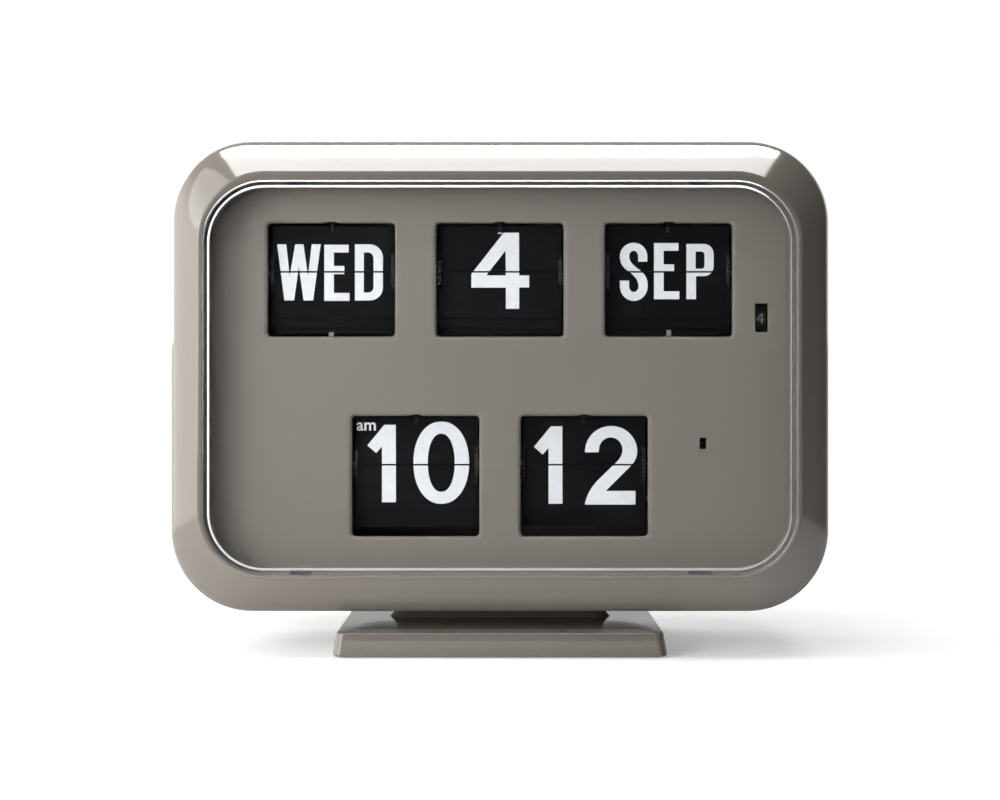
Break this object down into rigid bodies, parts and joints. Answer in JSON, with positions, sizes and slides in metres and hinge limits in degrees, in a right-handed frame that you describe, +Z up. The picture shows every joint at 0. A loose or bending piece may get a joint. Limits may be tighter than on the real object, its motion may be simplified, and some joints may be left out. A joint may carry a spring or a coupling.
{
  "type": "split-flap calendar clock",
  "caption": "Free-standing split-flap clock: weekday, date and month leaves over hour and minute leaves behind a deep clear lens, in a rounded case on a pedestal foot.",
  "frame": {"origin": "on the floor, under the middle of the whole object", "axes": "+X to the right seen from the front, +Y from the front to the back, +Z up"},
  "size_m": [0.31, 0.104, 0.2418],
  "materials": {
    "case_plastic": "warm taupe grey, glossy",
    "dial_plastic": "grey, satin with a fine texture",
    "clear_plastic": "clear acrylic",
    "leaf_card": "black satin leaf with white print",
    "black_plastic": "black moulded plastic",
    "steel": "plain steel",
    "plated_sheet": "zinc-plated sheet",
    "rubber": "dark rubber",
    "battery_sleeve": "printed sleeve without print",
    "board_laminate": "green laminate"
  },
  "bodies": {
    "case": {"axle_lower": "steel", "axle_upper": "steel", "battery": "battery_sleeve", "battery_contact": "steel", "battery_spring": "steel", "battery_tray": "black_plastic", "chassis": "plated_sheet", "circuit_board": "board_laminate", "date_leaf_stack": "leaf_card", "date_lower_leaf": "leaf_card", "date_retainer": "steel", "dial_plate": "dial_plastic", "foot_pad_1": "rubber", "foot_pad_2": "rubber", "foot_pad_3": "rubber", "foot_pad_4": "rubber", "front_housing": "case_plastic", "front_lens": "clear_plastic", "hour_leaf_stack": "leaf_card", "hour_lower_leaf": "leaf_card", "hour_retainer": "steel", "minute_leaf_stack": "leaf_card", "minute_lower_leaf": "leaf_card", "minute_retainer": "steel", "month_leaf_stack": "leaf_card", "month_lower_leaf": "leaf_card", "month_retainer": "steel", "movement_housing": "black_plastic", "rear_cover": "case_plastic", "rear_cover_screw_1": "steel", "rear_cover_screw_2": "steel", "rear_cover_screw_3": "steel", "rear_cover_screw_4": "steel", "set_wheel_shaft": "steel", "stand_pedestal": "case_plastic", "stand_screw_1": "steel", "stand_screw_2": "steel", "weekday_leaf_stack": "leaf_card", "weekday_lower_leaf": "leaf_card", "weekday_retainer": "steel"},
    "weekday_drum": {"weekday_spool": "black_plastic"},
    "weekday_leaf": {"weekday_upper_leaf": "leaf_card"},
    "date_drum": {"date_spool": "black_plastic"},
    "date_leaf": {"date_upper_leaf": "leaf_card"},
    "month_drum": {"month_spool": "black_plastic"},
    "month_leaf": {"month_upper_leaf": "leaf_card"},
    "hour_drum": {"hour_spool": "black_plastic"},
    "hour_leaf": {"hour_upper_leaf": "leaf_card"},
    "minute_drum": {"minute_spool": "black_plastic", "minute_drive_gear": "black_plastic"},
    "minute_leaf": {"minute_upper_leaf": "leaf_card"},
    "weekday_setter": {"weekday_set_wheel": "black_plastic"},
    "date_setter": {"date_set_wheel": "black_plastic"},
    "month_setter": {"month_set_wheel": "black_plastic"},
    "time_setter": {"time_set_wheel": "black_plastic"},
    "seconds": {"seconds_wheel": "black_plastic"},
    "leap_year": {"leap_year_wheel": "black_plastic"},
    "pinion": {"motor_pinion": "steel"},
    "door": {"battery_door": "case_plastic"}
  },
  "joints": [
    {"name": "weekday_drum_spin", "type": "hinge", "parent": "case", "child": "weekday_drum", "pos_m": [-0.0803, -0.008, 0.1813], "axis": [1, 0, 0], "continuous": true},
    {"name": "date_drum_spin", "type": "hinge", "parent": "case", "child": "date_drum", "pos_m": [0, -0.008, 0.1813], "axis": [1, 0, 0], "continuous": true},
    {"name": "month_drum_spin", "type": "hinge", "parent": "case", "child": "month_drum", "pos_m": [0.0803, -0.008, 0.1813], "axis": [1, 0, 0], "continuous": true},
    {"name": "hour_drum_spin", "type": "hinge", "parent": "case", "child": "hour_drum", "pos_m": [-0.04015, -0.008, 0.0889], "axis": [1, 0, 0], "continuous": true},
    {"name": "minute_drum_spin", "type": "hinge", "parent": "case", "child": "minute_drum", "pos_m": [0.04015, -0.008, 0.0889], "axis": [1, 0, 0], "continuous": true},
    {"name": "weekday_leaf_fall", "type": "hinge", "parent": "case", "child": "weekday_leaf", "pos_m": [-0.0803, -0.026, 0.1813], "axis": [1, 0, 0], "range_deg": [0, 178]},
    {"name": "date_leaf_fall", "type": "hinge", "parent": "case", "child": "date_leaf", "pos_m": [0, -0.026, 0.1813], "axis": [1, 0, 0], "range_deg": [0, 178]},
    {"name": "month_leaf_fall", "type": "hinge", "parent": "case", "child": "month_leaf", "pos_m": [0.0803, -0.026, 0.1813], "axis": [1, 0, 0], "range_deg": [0, 178]},
    {"name": "hour_leaf_fall", "type": "hinge", "parent": "case", "child": "hour_leaf", "pos_m": [-0.04015, -0.026, 0.0889], "axis": [1, 0, 0], "range_deg": [0, 178]},
    {"name": "minute_leaf_fall", "type": "hinge", "parent": "case", "child": "minute_leaf", "pos_m": [0.04015, -0.026, 0.0889], "axis": [1, 0, 0], "range_deg": [0, 178]},
    {"name": "weekday_setter_spin", "type": "hinge", "parent": "case", "child": "weekday_setter", "pos_m": [-0.0515, 0.0314, 0.1813], "axis": [1, 0, 0], "continuous": true},
    {"name": "date_setter_spin", "type": "hinge", "parent": "case", "child": "date_setter", "pos_m": [0.0288, 0.0314, 0.1813], "axis": [1, 0, 0], "continuous": true},
    {"name": "month_setter_spin", "type": "hinge", "parent": "case", "child": "month_setter", "pos_m": [0.1091, 0.0314, 0.1813], "axis": [1, 0, 0], "continuous": true},
    {"name": "time_setter_spin", "type": "hinge", "parent": "case", "child": "time_setter", "pos_m": [0.06895, 0.0314, 0.0889], "axis": [1, 0, 0], "continuous": true},
    {"name": "seconds_wheel_spin", "type": "hinge", "parent": "case", "child": "seconds", "pos_m": [0.0967, -0.008, 0.0889], "axis": [1, 0, 0], "continuous": true},
    {"name": "leap_year_wheel_spin", "type": "hinge", "parent": "case", "child": "leap_year", "pos_m": [0.1245, -0.0115, 0.159], "axis": [1, 0, 0], "continuous": true},
    {"name": "motor_pinion_spin", "type": "hinge", "parent": "case", "child": "pinion", "pos_m": [0.07375, 0.0136, 0.0889], "axis": [1, 0, 0], "continuous": true},
    {"name": "battery_door_hinge", "type": "hinge", "parent": "case", "child": "door", "pos_m": [-0.0805, 0.051, 0.0534], "axis": [-1, 0, 0], "range_deg": [0, 110]}
  ],
  "couplings": [
    {"joint": "hour_drum_spin", "follows": "minute_drum_spin", "ratio": 0.041667},
    {"joint": "seconds_wheel_spin", "follows": "minute_drum_spin", "ratio": 60},
    {"joint": "motor_pinion_spin", "follows": "minute_drum_spin", "ratio": -5},
    {"joint": "time_setter_spin", "follows": "minute_drum_spin", "ratio": -0.94527},
    {"joint": "weekday_setter_spin", "follows": "weekday_drum_spin", "ratio": -0.94527},
    {"joint": "date_setter_spin", "follows": "date_drum_spin", "ratio": -0.94527},
    {"joint": "month_setter_spin", "follows": "month_drum_spin", "ratio": -0.94527},
    {"joint": "leap_year_wheel_spin", "follows": "month_drum_spin", "ratio": 0.25}
  ]
}
